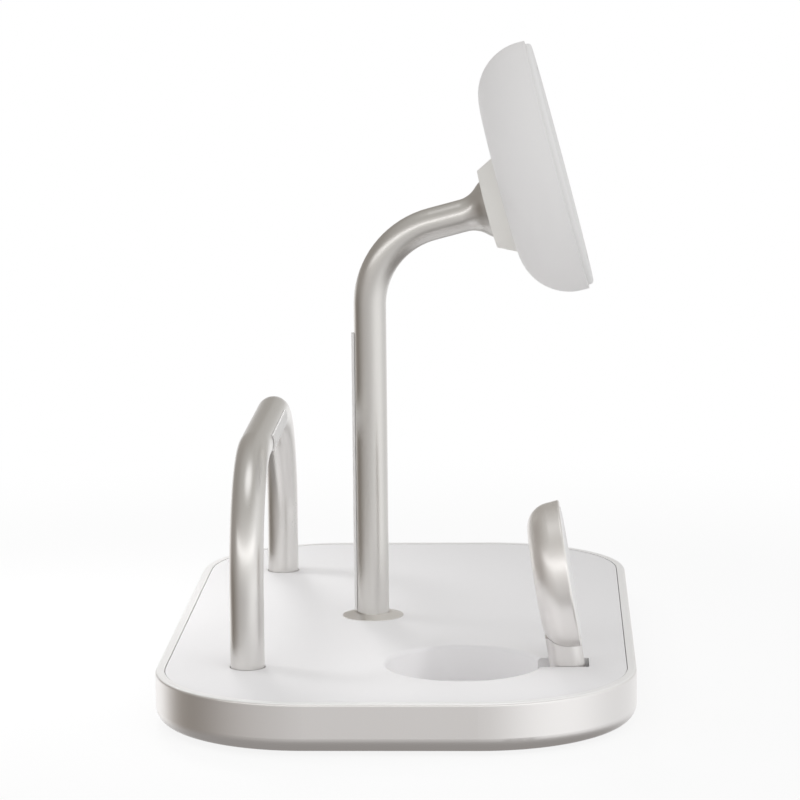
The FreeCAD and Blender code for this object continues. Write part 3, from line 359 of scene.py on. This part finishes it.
def makeContacts(gold):
    mesh = bmesh.new()
    for side in (-1, 1):
        for place in range(gold["count"]):
            across = inlet["middle"].y + (place - (gold["count"] - 1) / 2) * gold["pitch"]
            up = inlet["middle"].z + side * (gold["tongueHalf"] - gold["sink"] + gold["height"] / 2)
            centre = Vector((inlet["low"].x + gold["setIn"] + gold["length"] / 2, across, up))
            made = bmesh.ops.create_cube(mesh, size=1.0)
            bmesh.ops.scale(mesh, vec=(gold["length"], gold["width"], gold["height"]), verts=made["verts"])
            bmesh.ops.translate(mesh, vec=centre, verts=made["verts"])
    worn = [edge for edge in mesh.edges  # round the outer face of each strip
            if edge.verts[0].co.z == edge.verts[1].co.z
            and abs(edge.verts[0].co.z - inlet["middle"].z) > gold["tongueHalf"]]
    bmesh.ops.bevel(mesh, geom=worn, offset=gold["nose"], affect="EDGES", segments=gold["noseSteps"],
                    profile=0.5, material=-1)
    piece = meshObject("inlet_contacts", mesh, finishes["contactGold"])
    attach(piece, "base")


makeContacts(contacts)
print("inlet: contacts set on the tongue")

studio = {
    "ambient": 0.785, "leanRight": 0.17, "leanFront": 0.3, "leanUp": -0.01,  # what plain surfaces receive
    # what metal reflects, round from the back by the left (0.25), front (0.5) and right (0.75), low and high
    "gloss": 1.2,
    "lowWalls": [(0.0, (1, 1, 1)), (0.08, (1, 1, 1)), (0.13, (1, 0.99, 0.98)), (0.165, (0.36, 0.33, 0.3)),
                 (0.2, (0.19, 0.168, 0.145)), (0.27, (0.18, 0.16, 0.14)), (0.36, (0.46, 0.44, 0.425)),
                 (0.43, (0.47, 0.458, 0.448)), (0.5, (0.56, 0.55, 0.545)), (0.55, (0.67, 0.665, 0.66)),
                 (0.6, (0.88, 0.88, 0.88)), (0.66, (0.94, 0.94, 0.94)), (0.72, (0.92, 0.92, 0.92)),
                 (0.78, (0.7, 0.7, 0.7)), (0.85, (0.66, 0.66, 0.66)), (0.93, (0.8, 0.8, 0.8)),
                 (1.0, (1, 1, 1))],
    "highWalls": [(0.0, (0.36, 0.345, 0.32)), (0.12, (0.3, 0.28, 0.26)), (0.3, (0.3, 0.28, 0.26)),
                  (0.4, (0.6, 0.585, 0.57)), (0.55, (0.72, 0.715, 0.7)), (0.7, (0.85, 0.85, 0.85)),
                  (0.82, (0.75, 0.75, 0.74)), (1.0, (0.36, 0.345, 0.32))],
    "zenithTone": (0.45, 0.44, 0.42), "nadirTone": (0.27, 0.258, 0.25), "topTone": 1.1, "stripTone": 1.9,
    # where each tone starts and is full: 0 is level and 1 straight up, or down for nadirFall;
    # stripFront goes from 0 at the sides to 1 at the front
    "wallsMeet": (-0.08, 0.1), "zenithRise": (0.5, 0.9), "topRise": (0.93, 0.985), "nadirFall": (0.26, 0.65),
    "stripFoot": (0.28, 0.37), "stripHead": (0.39, 0.48), "stripFront": (0.1, 0.6),
}


def paintRoom(room):
    world = bpy.data.worlds.new("studio")
    world.use_nodes = True
    scene.world = world
    tree = world.node_tree
    flow = Flow(tree)
    ray = flow.node("ShaderNodeLightPath")
    camera, glossy, through = (Flow(tree, ray.socket.node.outputs[kind])
                               for kind in ("Is Camera Ray", "Is Glossy Ray", "Is Transmission Ray"))
    way = flow.node("ShaderNodeTexCoord", None, None, "Generated")
    x, y, z = (way.along(axis) for axis in "XYZ")
    # how the room goes round: 0.5 is the front, 0.25 the left and 0.75 the right
    aboutUp = flow.math("ARCTAN2", x, 0 - y) / (2 * math.pi) + 0.5
    walls = []
    for ring in ("lowWalls", "highWalls"):
        shades = {"interpolation": "B_SPLINE", "stops": room[ring]}
        walls.append(flow.node("ShaderNodeValToRGB", shades, {"Fac": aboutUp}))
    seen = z.steps(*room["wallsMeet"]).between(*walls)
    seen = z.steps(*room["zenithRise"]).between(seen, rgba(room["zenithTone"]))
    seen = z.steps(*room["topRise"]).between(seen, rgba((1, 1, 1), room["topTone"]))
    seen = (0 - z).steps(*room["nadirFall"]).between(seen, rgba(room["nadirTone"]))
    strip = z.steps(*room["stripFoot"]) * (1 - z.steps(*room["stripHead"]))
    strip = strip * (0 - y).steps(*room["stripFront"])
    seen = strip.between(seen, rgba((1, 1, 1), room["stripTone"]))
    seen = flow.node("ShaderNodeVectorMath", {"operation": "SCALE"}, {0: seen, "Scale": room["gloss"]})
    level = room["ambient"] * (1 + x * room["leanRight"] - y * room["leanFront"] + z * room["leanUp"])
    plain = glossy.between(level, seen)
    backdrop = flow.math("MAXIMUM", camera, through).between(plain, rgba((1, 1, 1)))
    tree.links.new(backdrop.socket, tree.nodes["Background"].inputs["Color"])


lamps = [
    # the key, from behind, and a harder lamp beside it that draws the shadows
    {"place": (-0.18, 0.42, 0.42), "aim": (-0.06, -0.11, 0.0), "size": 0.34, "spread": 50, "power": 0.05},
    {"place": (-0.13, 0.34, 0.3), "aim": (-0.075, -0.005, 0.0), "size": 0.1, "spread": 30, "power": 0.022},
    # a wash from the left over that half of the base, and a narrow fill from the right across the well
    {"place": (-0.27, 0.1, 0.27), "aim": (-0.08, 0.015, 0.0), "size": 0.12, "spread": 40, "power": 0.029},
    {"place": (0.26, -0.27, 0.36), "aim": (0.008, -0.06, 0.005), "size": 0.05, "spread": 8, "power": 0.0022},
]


def hangLamp(lamp):
    data = bpy.data.lights.new("softLamp", "AREA")
    data.size = lamp["size"]
    data.energy = lamp["power"]
    data.spread = math.radians(lamp["spread"])
    light = bpy.data.objects.new("softLamp", data)
    scene.collection.objects.link(light)
    light.location = lamp["place"]
    light.rotation_mode = "QUATERNION"
    light.rotation_quaternion = (Vector(lamp["aim"]) - Vector(lamp["place"])).to_track_quat("-Z", "Y")
    light.visible_glossy = False


# the camera sees the floor lifted towards white, fully so from shadeEnd outwards
paleFloor = {"colour": (0.9, 0.9, 0.9), "rough": 0.9, "radius": 3.0, "segments": 64, "drop": 0.0002,
             "lift": 0.85, "shadeStart": 0.13, "shadeEnd": 0.3}


def layFloor(pale):
    mesh = bmesh.new()
    bmesh.ops.create_circle(mesh, cap_ends=True, segments=pale["segments"], radius=pale["radius"])
    bmesh.ops.translate(mesh, vec=(0, 0, -pale["drop"]), verts=mesh.verts)
    material, shader, flow, place = newFinish("paleFloor")
    dull = {"Base Color": rgba(pale["colour"]), "Roughness": pale["rough"], "Specular IOR Level": 0.0}
    fill(shader, dull, {})
    distance = flow.node("ShaderNodeVectorMath", {"operation": "LENGTH"}, {0: place}, "Value")
    lift = distance.steps(pale["shadeStart"], pale["shadeEnd"], pale["lift"], 1.0)
    seen = flow.node("ShaderNodeLightPath", None, None, "Is Camera Ray")
    white = flow.node("ShaderNodeEmission")
    mixed = flow.node("ShaderNodeMixShader", None,
                      {0: lift * seen, 1: Flow(material.node_tree, shader.outputs["BSDF"]), 2: white})
    output = material.node_tree.nodes["Material Output"]
    material.node_tree.links.new(mixed.socket, output.inputs["Surface"])
    floor = meshObject("floor", mesh, material)
    floor.visible_glossy = False


paintRoom(studio)
for lamp in lamps:
    hangLamp(lamp)
layFloor(paleFloor)
scene.view_settings.view_transform = "Standard"
print("studio: lit")
